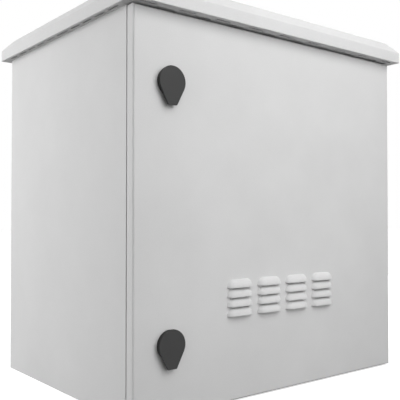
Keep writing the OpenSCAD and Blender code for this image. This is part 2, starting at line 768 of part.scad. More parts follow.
// Hinge block, fitted into the corner of the door pan
module hinge_block(z) color(zinc) along_z(z + running_gap, z + hinge_h) difference() {
    intersection() {
        translate([axis_x, axis_y]) {
            circle(hinge_block_r);
            flat_box([-hinge_block_r, -axis_back + sheet], [hinge_block_r, 0]);
            flat_box([0, -axis_back + sheet], [hinge_block_r, hinge_block_r]);
        }
        pan_outline(wall_x, door_skin_y, door_rear_y, fold_in_r);
    }
    translate([axis_x, axis_y]) circle(pin_r + pin_play);
}

// Door pan with the louvres pressed out of its skin
module door_panel() color(paint) difference() {
    union() {
        pan_form(side_x, front_y, door_rear_y, door_foot_gap, door_top, fold_r);
        louvre_places() louvre_form(louvre_r, 0);
    }
    pan_form(wall_x, door_skin_y, door_rear_y + cut_over, door_foot_gap + sheet, door_top - sheet, fold_in_r);
    louvre_places() louvre_form(louvre_r - sheet, louvre_undercut);
    for (z = [lower_lock_z, upper_lock_z])
        rod_y(lock_x, z, front_y - cut_over, door_skin_y + cut_over, barrel_r + hole_play);
}
// A block with its front edges rounded, as a folded pan is
module pan_form(half_w, y0, y1, z0, z1, r) intersection() {
    along_z(z0, z1) pan_outline(half_w, y0, y1, r);
    along_x(-half_w, half_w) {
        round_box([y0, z0], [y1, z1], r);
        flat_box([y0 + r, z0], [y1, z1]);
    }
}
module pan_outline(half_w, y0, y1, r) {
    round_box([-half_w, y0], [half_w, y1], r);
    flat_box([-half_w, y0 + r], [half_w, y1]);
}
module louvre_places() for (c = [0 : louvre_columns - 1], r = [0 : louvre_rows - 1]) translate([
    (c - (louvre_columns - 1) / 2) * louvre_column_pitch, louvre_axis_y, louvre_low_z + r * louvre_row_pitch
]) children();
// The upper front part of a round-ended bar, which bulges out of the skin and opens downwards
module louvre_form(r, undercut) intersection() {
    union() {
        rod_x(0, 0, -louvre_run / 2, louvre_run / 2, r);
        for (x = pair(0, louvre_run)) translate([x, 0, 0]) sphere(r);
    }
    translate([-louvre_w, -louvre_r - cut_over, -undercut])
        cube([2 * louvre_w, louvre_out + cut_over + sheet + undercut, 2 * louvre_h]);
}

// Gasket inside the door, facing the sealing lip
module door_gasket() color(rubber) along_y(door_skin_y, lip_y - soft_play) difference() {
    opening_outline(gasket_out);
    opening_outline(gasket_out - gasket_w);
}

// Filter tray behind the louvres: walls, a windowed back and two fixing ears
module filter_tray() color(zinc) difference() {
    union() {
        along_y(door_skin_y, filter_rear_y) flat_box([-filter_x, filter_low], [filter_x, filter_high]);
        along_y(door_skin_y, door_skin_y + filter_sheet)
            flat_box([-filter_x - filter_ear, filter_low], [filter_x + filter_ear, filter_high]);
    }
    along_y(door_skin_y - cut_over, filter_rear_y - filter_sheet) filter_inside(filter_sheet);
    along_y(filter_rear_y - 2 * filter_sheet, filter_rear_y + cut_over) filter_window_row();
    filter_stud_places() rod_y(0, 0, door_skin_y - cut_over, door_skin_y + 2 * filter_sheet,
        filter_stud_r + hole_play);
}
module filter_inside(inset) flat_box(
    [-filter_x + inset, filter_low + inset],
    [filter_x - inset, filter_high - inset]
);
module filter_window_row() {
    step = (2 * filter_x - filter_bar) / filter_windows;
    for (i = [0 : filter_windows - 1]) flat_box(
        [-filter_x + filter_bar + i * step, filter_low + filter_bar],
        [-filter_x + (i + 1) * step, filter_high - filter_bar]
    );
}
module filter_stud_places() for (x = pair(0, 2 * filter_stud_x), z = filter_stud_z)
    translate([x, 0, z]) children();

// Filter mat in the tray
module filter_mat() color(filter_foam)
    along_y(door_skin_y + soft_play, filter_rear_y - filter_sheet - soft_play)
        filter_inside(filter_sheet + soft_play);

// Studs welded to the skin and the nuts that hold the filter tray
module filter_studs() color(zinc) filter_stud_places()
    rod_y(0, 0, door_skin_y, door_skin_y + filter_stud_len, filter_stud_r);
module filter_nuts() color(zinc) filter_stud_places()
    along_y(door_skin_y + filter_sheet, door_skin_y + filter_sheet + filter_nut_t) difference() {
        hexagon(filter_nut_af);
        circle(filter_stud_r + thread_play);
    }

// Earth point on the door
module door_earth_stud() color(brass)
    rod_y(door_earth_x, door_earth_z, door_skin_y, door_skin_y + door_earth_len, door_earth_r);
module door_earth_nut() color(brass) translate([door_earth_x, 0, door_earth_z])
    along_y(door_skin_y, door_skin_y + door_earth_nut_t) difference() {
        hexagon(door_earth_af);
        circle(door_earth_r + thread_play);
    }

// Lock body: a round base on the door's face and a barrel through the skin
module lock_body(z) color(dark_plastic) difference() {
    union() {
        rod_y(lock_x, z, base_front_y, front_y, lock_base_r);
        rod_y(lock_x, z, front_y - cut_over, barrel_end_y, barrel_r);
    }
    rod_y(lock_x, z, base_front_y - cut_over, barrel_end_y + cut_over, core_r + pin_play);
    rod_y(lock_x, z, base_front_y - cut_over, base_front_y + core_sink + core_head_t, core_head_r + pin_play);
    rod_y(lock_x, z + cover_pivot, base_front_y - cut_over, base_front_y + pivot_depth + running_gap,
        pivot_r + pin_play);
}

// Ring nut that clamps the lock body behind the skin
module lock_nut(z) color(zinc) translate([lock_x, 0, z])
    along_y(door_skin_y, door_skin_y + lock_nut_t) difference() {
        hexagon(lock_nut_af);
        circle(barrel_r + thread_play);
    }

// Lock cover: a teardrop plate that hangs and swings on a post near its top
module lock_cover(z) color(dark_plastic) translate([lock_x, 0, z]) {
    along_y(front_y - cover_face, cover_rear_y) teardrop();
    rod_y(0, cover_pivot, cover_rear_y - cover_t / 2, base_front_y + pivot_depth, pivot_r);
}
// A round head drawn down by straight tangents to a tab with rounded corners
module teardrop() {
    corner = [cover_tab_w / 2 - cover_tab_r, -cover_drop + cover_tab_r];
    lean = atan2(corner.y, corner.x) + acos((cover_r - cover_tab_r) / norm(corner));
    side = [cos(lean), sin(lean)];
    high = cover_r * side;
    low = corner + cover_tab_r * side;
    circle(cover_r);
    polygon([[0, 0], high, low, [corner.x, -cover_drop], [-corner.x, -cover_drop], [-low.x, low.y],
        [-high.x, high.y]]);
    for (x = pair(0, 2 * corner.x)) translate([x, corner.y]) circle(cover_tab_r);
}

// Lock core: a headed plug with a key slot, ending in a square for the cam
module lock_core(z) color(steel) translate([lock_x, 0, z]) difference() {
    union() {
        rod_y(0, 0, base_front_y + core_sink, base_front_y + core_sink + core_head_t, core_head_r);
        rod_y(0, 0, base_front_y + core_sink, cam_y, core_r);
        along_y(cam_y - cut_over, cam_rear_y - square_short) square(core_square, center = true);
    }
    along_y(base_front_y - cut_over, base_front_y + core_slot_depth) square(core_slot, center = true);
    rod_y(0, 0, cam_rear_y - cam_screw_bite, cam_rear_y + cut_over, cam_screw_r + thread_play);
}

// Cam that turns behind the frame, hanging down when the lock is open
module lock_cam(z) color(zinc) translate([lock_x, 0, z]) along_y(cam_y, cam_rear_y) difference() {
    union() {
        circle(cam_boss_r);
        flat_box([-cam_w / 2, -cam_reach + cam_w / 2], [cam_w / 2, 0]);
        translate([0, -cam_reach + cam_w / 2]) circle(cam_w / 2);
    }
    square(core_square + fit_play, center = true);
}

// Screw that holds the cam on the core
module cam_screw(z) color(zinc) translate([lock_x, 0, z]) {
    along_y(cam_rear_y, cam_rear_y + cam_head_h) hexagon(cam_head_af);
    rod_y(0, 0, cam_rear_y - cam_screw_bite + cut_over, cam_rear_y + cut_over, cam_screw_r);
}

body_wrap();
front_frame();
top_plate();
bottom_tray();
roof_canopy();
canopy_bolts();
canopy_nuts();
mirror([1, 0, 0]) side_bar(bar_high_z);  // upper_left_bar
side_bar(bar_high_z);  // upper_right_bar
mirror([1, 0, 0]) side_bar(bar_low_z);  // lower_left_bar
side_bar(bar_low_z);  // lower_right_bar
mirror([1, 0, 0]) rack_rail(rail_front_y, 1);  // front_left_rail
rack_rail(rail_front_y, 1);  // front_right_rail
mirror([1, 0, 0]) rack_rail(rail_rear_y, -1);  // rear_left_rail
rack_rail(rail_rear_y, -1);  // rear_right_rail
rail_bolts();
rail_nuts();
fan_frame(-fan_pitch / 2);  // left_fan_frame
fan_frame(fan_pitch / 2);  // right_fan_frame
fan_guard(-fan_pitch / 2);  // left_fan_guard
fan_guard(fan_pitch / 2);  // right_fan_guard
fan_screws();
fan_rotor(-fan_pitch / 2);  // left_fan_rotor
fan_rotor(fan_pitch / 2);  // right_fan_rotor
gland_plate();
gland_screws();
grommet(-1);  // left_grommet
grommet(0);  // middle_grommet
grommet(1);  // right_grommet
earth_stud();
earth_nut();
hinge_arm(upper_hinge_z);  // upper_hinge_arm
hinge_arm(lower_hinge_z);  // lower_hinge_arm
hinge_pin(upper_hinge_z);  // upper_hinge_pin
hinge_pin(lower_hinge_z);  // lower_hinge_pin
hinge_screws();
door_panel();
door_gasket();
filter_tray();
filter_mat();
filter_studs();
filter_nuts();
hinge_block(upper_hinge_z);  // upper_hinge_block
hinge_block(lower_hinge_z);  // lower_hinge_block
door_earth_stud();
door_earth_nut();
lock_body(upper_lock_z);  // upper_lock_body
lock_body(lower_lock_z);  // lower_lock_body
lock_nut(upper_lock_z);  // upper_lock_nut
lock_nut(lower_lock_z);  // lower_lock_nut
lock_cover(upper_lock_z);  // upper_lock_cover
lock_cover(lower_lock_z);  // lower_lock_cover
lock_core(upper_lock_z);  // upper_lock_core
lock_core(lower_lock_z);  // lower_lock_core
lock_cam(upper_lock_z);  // upper_lock_cam
lock_cam(lower_lock_z);  // lower_lock_cam
cam_screw(upper_lock_z);  // upper_cam_screw
cam_screw(lower_lock_z);  // lower_cam_screw
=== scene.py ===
import math

import bmesh
import bpy
from mathutils import Matrix, Vector


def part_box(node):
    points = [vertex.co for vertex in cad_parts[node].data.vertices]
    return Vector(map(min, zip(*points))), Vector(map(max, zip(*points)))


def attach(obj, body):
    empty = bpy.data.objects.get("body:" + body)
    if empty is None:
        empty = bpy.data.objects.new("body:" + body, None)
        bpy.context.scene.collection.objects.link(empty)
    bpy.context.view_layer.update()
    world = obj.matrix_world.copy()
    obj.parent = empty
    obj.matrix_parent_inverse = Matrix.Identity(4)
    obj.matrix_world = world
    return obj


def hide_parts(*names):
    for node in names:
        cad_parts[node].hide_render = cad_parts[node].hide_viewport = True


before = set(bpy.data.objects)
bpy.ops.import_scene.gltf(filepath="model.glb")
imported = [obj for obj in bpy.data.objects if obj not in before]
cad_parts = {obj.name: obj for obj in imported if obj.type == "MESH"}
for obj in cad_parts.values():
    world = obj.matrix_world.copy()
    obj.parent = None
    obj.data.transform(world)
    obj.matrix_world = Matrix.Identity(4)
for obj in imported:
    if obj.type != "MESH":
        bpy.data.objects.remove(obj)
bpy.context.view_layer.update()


# Camera. It stands in front of the cabinet's left corner, a little below half height,
# and is nearly level, so the door and the left wall both run away from the near edge.
def linked(name, data):
    """A new object of the scene."""
    thing = bpy.data.objects.new(name, data)
    bpy.context.scene.collection.objects.link(thing)
    return thing


def aimed(place, look):
    """The matrix of a camera or lamp that stands at a place and looks along a direction."""
    return Matrix.Translation(place) @ look.to_track_quat("-Z", "Y").to_matrix().to_4x4()


camera_place = Vector((-0.78191, -0.99512, 0.29406))
camera_yaw = math.radians(38.749)
camera_pitch = math.radians(1.18)
camera_look = Vector((
    math.sin(camera_yaw) * math.cos(camera_pitch),
    math.cos(camera_yaw) * math.cos(camera_pitch),
    math.sin(camera_pitch),
))
lens = bpy.data.cameras.new("camera")
lens.sensor_width = 36.0
lens.lens = 57.337
lens.shift_x = -0.0199
lens.shift_y = 0.0094
lens.clip_start = 0.05
camera = linked("camera", lens)
camera.matrix_world = aimed(camera_place, camera_look)
bpy.context.scene.camera = camera
bpy.context.scene.view_settings.view_transform = "Standard"


# Studio. A pale level floor in a plain white room, with a soft lamp high in front of the door,
# a wide one behind it, a weak one near the foot, and a wide one beyond each rear corner.
def put(tree, kind, wires, **settings):
    """Adds a node, sets its settings, and wires or sets its inputs; returns its outputs."""
    node = tree.nodes.new(kind)
    for name, value in settings.items():
        setattr(node, name, value)
    for socket, value in wires.items():
        if isinstance(value, bpy.types.NodeSocket):
            tree.links.new(value, node.inputs[socket])
        else:
            node.inputs[socket].default_value = value
    return node.outputs


def emptied(owner):
    """Turns on the nodes of a world or a material and returns its tree, emptied."""
    owner.use_nodes = True
    owner.node_tree.nodes.clear()
    return owner.node_tree


def seen_directly(tree):
    """1 where a camera, mirror or glass ray arrives, so that these see the plain white room."""
    path = put(tree, "ShaderNodeLightPath", {})
    seen = path["Is Camera Ray"]
    for ray in ("Is Glossy Ray", "Is Transmission Ray"):
        seen = put(tree, "ShaderNodeMath", {0: seen, 1: path[ray]}, operation="MAXIMUM")[0]
    return seen


white = (1, 1, 1, 1)
horizon_light = 0.66
zenith_light = 0.34
room = bpy.data.worlds.new("room")
bpy.context.scene.world = room
tree = emptied(room)
way = put(tree, "ShaderNodeTexCoord", {})
height = put(tree, "ShaderNodeSeparateXYZ", {0: way["Generated"]})
fade = put(tree, "ShaderNodeMapRange",
           {"Value": height["Z"], "To Min": horizon_light, "To Max": zenith_light})
glow = put(tree, "ShaderNodeBackground", {"Color": white, "Strength": fade["Result"]})
shown = put(tree, "ShaderNodeBackground", {"Color": white, "Strength": 1.0})
both = put(tree, "ShaderNodeMixShader", {0: seen_directly(tree), 1: glow[0], 2: shown[0]})
put(tree, "ShaderNodeOutputWorld", {"Surface": both[0]})

floor_reach = 12.0
floor_drop = 0.0004
floor_pale = (0.08, 0.08, 0.08, 1)
floor_shadow_tone = (0.76, 0.76, 0.76, 1)
floor_lift = 0.68
floor_corners = [
    (x * floor_reach, y * floor_reach, -floor_drop)
    for x, y in ((-1, -1), (1, -1), (1, 1), (-1, 1))
]
floor_mesh = bpy.data.meshes.new("floor")
floor_mesh.from_pydata(floor_corners, [], [(0, 1, 2, 3)])
floor = linked("floor", floor_mesh)
pale = bpy.data.materials.new("pale_floor")
tree = emptied(pale)
matt = put(tree, "ShaderNodeBsdfDiffuse", {"Color": floor_pale})
shadowed = put(tree, "ShaderNodeBsdfDiffuse", {"Color": floor_shadow_tone})
lifted = put(tree, "ShaderNodeEmission", {"Strength": floor_lift})
shown = put(tree, "ShaderNodeAddShader", {0: shadowed[0], 1: lifted[0]})
both = put(tree, "ShaderNodeMixShader", {0: seen_directly(tree), 1: matt[0], 2: shown[0]})
put(tree, "ShaderNodeOutputMaterial", {"Surface": both[0]})
floor_mesh.materials.append(pale)

for name, place, aim, width, watts in (
    ("key_lamp", (0.08, -0.88, 0.97), (-0.02, -0.225, 0.40), 0.7, 3.1),
    ("wide_lamp", (0.05, -1.45, 1.10), (0.0, -0.2, 0.50), 1.6, 10.0),
    ("fill_lamp", (-0.05, -0.80, 0.10), (-0.06, -0.225, 0.02), 0.5, 0.6),
    ("left_lamp", (-1.7, 1.15, 0.55), (-0.3, 0.1, 0.35), 1.8, 37.0),
    ("right_lamp", (1.7, 1.15, 0.55), (0.3, 0.1, 0.35), 1.8, 27.0),
):
    light = bpy.data.lights.new(name, "AREA")
    light.size = width
    light.energy = watts
    lamp = linked(name, light)
    lamp.matrix_world = aimed(Vector(place), Vector(aim) - Vector(place))


# Body wrap. The side walls and the back are one folded steel sheet, finished with a
# light grey powder coat that has a fine, slightly pebbled skin.
def new_finish(name):
    """A new material, its empty tree, and the object's own coordinates in that tree."""
    material = bpy.data.materials.new(name)
    tree = emptied(material)
    return material, tree, put(tree, "ShaderNodeTexCoord", {})["Object"]


def noise(tree, place, scale, detail):
    """Soft noise in the object's own coordinates."""
    wires = {"Vector": place, "Scale": scale, "Detail": detail}
    return put(tree, "ShaderNodeTexNoise", wires)["Fac"]


def spread(tree, value, **limits):
    """A value brought from one range to another; the ranges are given as from_min and so on."""
    wires = {name.replace("_", " ").title(): limit for name, limit in limits.items()}
    return put(tree, "ShaderNodeMapRange", {"Value": value, **wires})["Result"]


def between(tree, part, dark, light):
    """The colour that lies part of the way from dark to light."""
    wires = {"Factor": part, "A": (*dark, 1), "B": (*light, 1)}
    return put(tree, "ShaderNodeMix", wires, data_type="RGBA")["Result"]


def skin(tree, height, strength, depth):
    """The normal of a surface with a fine relief."""
    wires = {"Height": height, "Strength": strength, "Distance": depth}
    return put(tree, "ShaderNodeBump", wires)["Normal"]


def surface(tree, wires):
    """Ends a material's tree with its shader."""
    shader = put(tree, "ShaderNodeBsdfPrincipled", wires)
    put(tree, "ShaderNodeOutputMaterial", {"Surface": shader[0]})


def powder_coat(name, light, dark):
    """Sprayed and baked paint: two close greys in soft clouds over a fine pebbled skin."""
    grain_share = 0.5
    coat, tree, place = new_finish(name)
    clouds = noise(tree, place, scale=9.0, detail=5.0)
    grain = noise(tree, place, scale=520.0, detail=2.0)
    speckle = put(tree, "ShaderNodeMath", {0: grain, 1: grain_share, 2: clouds},
                  operation="MULTIPLY_ADD")[0]
    part = spread(tree, speckle, from_min=0.45, from_max=1.05)
    surface(tree, {
        "Base Color": between(tree, part, dark, light),
        "Roughness": spread(tree, clouds, from_min=0.3, from_max=0.7, to_min=0.62, to_max=0.72),
        "Normal": skin(tree, grain, strength=0.5, depth=0.0002),
        "Specular IOR Level": 0.22,
    })
    return coat


def finish_nodes(material, *names):
    """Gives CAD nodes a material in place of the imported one."""
    for name in names:
        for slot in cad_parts[name].material_slots:
            slot.material = material


grey_coat = powder_coat("grey_powder_coat", light=(0.70, 0.70, 0.70), dark=(0.64, 0.64, 0.64))
finish_nodes(grey_coat, "body_wrap")


# Front frame, top plate and bottom tray. Folded sheets welded into the wrap: the frame with
# its rain gutter, the plate under the canopy, and the floor on its foot flanges.
finish_nodes(grey_coat, "front_frame", "top_plate", "bottom_tray")


# Side bars and rack rails. Galvanised sheet: channels along the side walls carry four angle
# rails with the square holes that take cage nuts.
def galvanised(name, light, dark, spangle):
    """Bare metal: crystals of slightly different tones, with a fine grain over them."""
    crystal_share = 0.55
    plate, tree, place = new_finish(name)
    crystals = put(tree, "ShaderNodeTexVoronoi", {"Vector": place, "Scale": spangle})["Color"]
    level = put(tree, "ShaderNodeSeparateColor", {0: crystals})["Red"]
    fine = noise(tree, place, scale=340.0, detail=3.0)
    part = put(tree, "ShaderNodeMath", {0: level, 1: crystal_share, 2: fine},
               operation="MULTIPLY_ADD")[0]
    surface(tree, {
        "Base Color": between(tree, part, dark, light),
        "Roughness": spread(tree, part, to_min=0.46, to_max=0.30),
        "Normal": skin(tree, fine, strength=0.15, depth=0.0001),
        "Metallic": 1.0,
    })
    return plate


zinc_sheet = galvanised("zinc_sheet", light=(0.52, 0.53, 0.54), dark=(0.35, 0.36, 0.38),
                        spangle=110.0)
for side in ("left", "right"):
    finish_nodes(zinc_sheet, *[f"{level}_{side}_bar" for level in ("upper", "lower")],
                 *[f"{end}_{side}_rail" for end in ("front", "rear")])


# Rail bolts and nuts. Zinc plated M6 hexagon bolts, put in from between the rails,
# with chamfered heads and a nut behind each bar.
def merged(node):
    """A copy of a CAD node's triangles with the loose corners joined."""
    join_reach = 1e-6
    copy = bmesh.new()
    copy.from_mesh(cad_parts[node].data)
    bmesh.ops.remove_doubles(copy, verts=copy.verts, dist=join_reach)
    return copy


def solids(node):
    """Lowest and highest corner of each separate solid in a CAD node, in a fixed order."""
    order_digits = 5
    copy = merged(node)
    left = set(copy.verts)
    boxes = []
    while left:
        front = [left.pop()]
        piece = []
        while front:
            corner = front.pop()
            piece.append(corner.co.copy())
            for edge in corner.link_edges:
                other = edge.other_vert(corner)
                if other in left:
                    left.remove(other)
                    front.append(other)
        boxes.append(tuple(
            Vector(pick(place[i] for place in piece) for i in range(3)) for pick in (min, max)
        ))
    copy.free()
    return sorted(boxes, key=lambda box: tuple(round(c, order_digits) for c in box[0]))


def seats(node, axis, head=None, mirrored=False):
    """For each solid of a CAD node, a point under its head, or at its foot if it has no head,
    and its axis. If mirrored, the axis is the other way round in X on the left."""
    along = max(range(3), key=lambda i: abs(axis[i]))
    places = []
    for low, high in solids(node):
        side = math.copysign(1, low.x) if mirrored else 1
        way = Vector((side * axis.x, axis.y, axis.z))
        tip = high if way[along] > 0 else low
        drop = high[along] - low[along] if head is None else head
        seat = (low + high) / 2
        seat[along] = tip[along] - drop * way[along]
        places.append((seat, way))
    return places


def new_tree(name, *sizes):
    """An empty node tree with the places, the named sizes and the finish as its inputs."""
    tree = bpy.data.node_groups.new(name, "GeometryNodeTree")
    tree.interface.new_socket("Places", in_out="INPUT", socket_type="NodeSocketGeometry")
    for size in sizes:
        tree.interface.new_socket(size, in_out="INPUT", socket_type="NodeSocketFloat")
    tree.interface.new_socket("Finish", in_out="INPUT", socket_type="NodeSocketMaterial")
    tree.interface.new_socket("Geometry", in_out="OUTPUT", socket_type="NodeSocketGeometry")
    return tree, put(tree, "NodeGroupInput", {})


def times(tree, value, factor):
    """A size multiplied by a factor."""
    return put(tree, "ShaderNodeMath", {0: value, 1: factor}, operation="MULTIPLY")[0]


def less(tree, value, other):
    """A size with another taken from it."""
    return put(tree, "ShaderNodeMath", {0: value, 1: other}, operation="SUBTRACT")[0]


def raised(tree, geometry, height):
    """Geometry moved along Z."""
    lift = put(tree, "ShaderNodeCombineXYZ", {"Z": height})
    return put(tree, "GeometryNodeTransform", {"Geometry": geometry, "Translation": lift[0]})[0]


def cylinder(tree, sides, radius, depth):
    """An upright cylinder or prism with its middle at the origin."""
    wires = {"Vertices": sides, "Radius": radius, "Depth": depth}
    return put(tree, "GeometryNodeMeshCylinder", wires)["Mesh"]


def combined(tree, operation, *meshes):
    """A boolean of closed meshes; for a difference the first is the one that is cut."""
    node = tree.nodes.new("GeometryNodeMeshBoolean")
    node.operation = operation
    node.solver = "EXACT"
    for i, mesh in enumerate(meshes):
        cut_from = operation == "DIFFERENCE" and i == 0
        tree.links.new(mesh, node.inputs["Mesh 1" if cut_from else "Mesh 2"])
    return node.outputs["Mesh"]


def place_all(tree, sizes, piece):
    """Puts the piece at every place, with its Z along the place's axis, as one mesh."""
    axis = put(tree, "GeometryNodeInputNamedAttribute", {"Name": "axis"}, data_type="FLOAT_VECTOR")
    turn = put(tree, "FunctionNodeAlignRotationToVector", {"Vector": axis["Attribute"]}, axis="Z")
    copies = put(tree, "GeometryNodeInstanceOnPoints",
                 {"Points": sizes["Places"], "Instance": piece, "Rotation": turn[0]})
    whole = put(tree, "GeometryNodeRealizeInstances", {"Geometry": copies[0]})
    dressed = put(tree, "GeometryNodeSetMaterial",
                  {"Geometry": whole[0], "Material": sizes["Finish"]})
    put(tree, "NodeGroupOutput", {"Geometry": dressed[0]})


def hexagon(tree, flats, height):
    """A hexagon prism with the chamfered corners of a turned blank at its upper end."""
    corner_radius = 1 / math.sqrt(3)
    chamfer_radius = 0.475
    chamfer_slope = 2.0
    prism = cylinder(tree, 6, times(tree, flats, corner_radius), height)
    steep = put(tree, "ShaderNodeMath",
                {0: height, 1: chamfer_slope, 2: times(tree, flats, chamfer_radius)},
                operation="MULTIPLY_ADD")
    blank = put(tree, "GeometryNodeMeshCone", {
        "Vertices": 36, "Radius Top": times(tree, flats, chamfer_radius),
        "Radius Bottom": steep[0], "Depth": height,
    })
    upper = raised(tree, prism, times(tree, height, 0.5))
    return combined(tree, "INTERSECT", upper, blank["Mesh"])


def with_shank(tree, sizes, head, sides, grip):
    """A head on its seat, joined to a shank that goes down from inside it."""
    shank = cylinder(tree, sides, sizes["Shank radius"], sizes["Shank length"])
    sunk = raised(tree, shank, times(tree, sizes["Shank length"], -0.5))
    held = raised(tree, sunk, times(tree, sizes["Head height"], grip))
    return combined(tree, "UNION", head, held)


def bolt_tree():
    """A hexagon bolt that stands on its seat at the origin, with its shank going down."""
    tree, sizes = new_tree("hexagon_bolt", "Across flats", "Head height", "Shank radius",
                           "Shank length")
    head = hexagon(tree, sizes["Across flats"], sizes["Head height"])
    place_all(tree, sizes, with_shank(tree, sizes, head, 24, bolt_grip))
    return tree


def nut_tree():
    """A hexagon nut that stands on its seat at the origin."""
    bore_excess = 4.0
    tree, sizes = new_tree("hexagon_nut", "Across flats", "Height", "Bore radius")
    blank = hexagon(tree, sizes["Across flats"], sizes["Height"])
    bore = cylinder(tree, 24, sizes["Bore radius"], times(tree, sizes["Height"], bore_excess))
    place_all(tree, sizes, combined(tree, "DIFFERENCE", blank, bore))
    return tree


def as_plain_mesh(piece):
    """Keeps what an object's modifiers make of it as its mesh, and removes them."""
    ready = piece.evaluated_get(bpy.context.evaluated_depsgraph_get())
    piece.data = bpy.data.meshes.new_from_object(ready)
    piece.modifiers.clear()


def grown(name, tree, places, sizes, finish):
    """Runs a tree on places, each a point and an axis, and keeps the result as a plain mesh."""
    crease = math.radians(32)
    points = bpy.data.meshes.new(name)
    points.from_pydata([place for place, axis in places], [], [])
    axes = points.attributes.new("axis", "FLOAT_VECTOR", "POINT")
    for i, (place, axis) in enumerate(places):
        axes.data[i].vector = axis
    piece = linked(name, points)
    growth = piece.modifiers.new("growth", "NODES")
    growth.node_group = tree
    for socket in tree.interface.items_tree:
        if socket.name in sizes:
            growth[socket.identifier] = sizes[socket.name]
        elif socket.name == "Finish":
            growth[socket.identifier] = finish
    as_plain_mesh(piece)
    piece.data.shade_smooth()
    piece.data.set_sharp_from_angle(angle=crease)
    return piece


def stand_for(piece, body, slot, *nodes):
    """Lets a new piece take the place of CAD nodes on their body."""
    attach(piece, body)
    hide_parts(*nodes)


m6_flats, m6_head, m6_nut, m6_radius = 0.010, 0.004, 0.005, 0.003
bolt_grip = 0.3
bolt, nut = bolt_tree(), nut_tree()
zinc_bolt = galvanised("zinc_plating", light=(0.48, 0.49, 0.51), dark=(0.36, 0.37, 0.39),
                       spangle=400.0)


def m6_bolts(name, node, axis, mirrored=False):
    """Puts M6 bolts in place of a CAD node's solids, which are all alike."""
    low, high = solids(node)[0]
    length = abs((high - low).dot(axis))
    bolts = grown(name, bolt, seats(node, axis, m6_head, mirrored), {
        "Across flats": m6_flats, "Head height": m6_head, "Shank radius": m6_radius,
        "Shank length": length - (1 - bolt_grip) * m6_head,
    }, zinc_bolt)
    stand_for(bolts, "cabinet", "zinc", node)


def m6_nuts(name, node, axis, mirrored=False):
    """Puts M6 nuts in place of a CAD node's solids."""
    nuts = grown(name, nut, seats(node, axis, mirrored=mirrored),
                 {"Across flats": m6_flats, "Height": m6_nut, "Bore radius": m6_radius}, zinc_bolt)
    stand_for(nuts, "cabinet", "zinc", node)


m6_bolts("rail_hex_bolts", "rail_bolts", Vector((-1, 0, 0)), mirrored=True)
m6_nuts("rail_hex_nuts", "rail_nuts", Vector((1, 0, 0)), mirrored=True)


# Fans. Two axial fans under the top plate: black moulded frames and rotors, and on the inside
# a guard of welded steel wire, each held up by four cross-recessed screws.
def moulded_plastic(name, light, dark, rough, grain_scale):
    """Moulded plastic: a fine even grain and a faint mottle."""
    plastic, tree, place = new_finish(name)
    grain = noise(tree, place, scale=grain_scale, detail=2.0)
    mottle = noise(tree, place, scale=60.0, detail=3.0)
    surface(tree, {
        "Base Color": between(tree, mottle, dark, light),
        "Roughness": rough,
        "Normal": skin(tree, grain, strength=0.25, depth=0.0001),
        "Specular IOR Level": 0.3,
    })
    return plastic


fan_black = moulded_plastic("fan_black", light=(0.020, 0.020, 0.021), dark=(0.012, 0.012, 0.013),
                            rough=0.42, grain_scale=700.0)
finish_nodes(fan_black, "left_fan_frame", "right_fan_frame", "left_fan_rotor", "right_fan_rotor")


def ring(tree, points, radius):
    """A round curve about the origin."""
    wires = {"Resolution": points, "Radius": radius}
    return put(tree, "GeometryNodeCurvePrimitiveCircle", wires)["Curve"]


def joined(tree, *parts):
    """Several pieces of geometry as one."""
    node = tree.nodes.new("GeometryNodeJoinGeometry")
    for part in parts:
        tree.links.new(part, node.inputs[0])
    return node.outputs[0]


def swept(tree, curve, section):
    """A solid with one section all along a curve."""
    wires = {"Curve": curve, "Profile Curve": section, "Fill Caps": True}
    return put(tree, "GeometryNodeCurveToMesh", wires)["Mesh"]


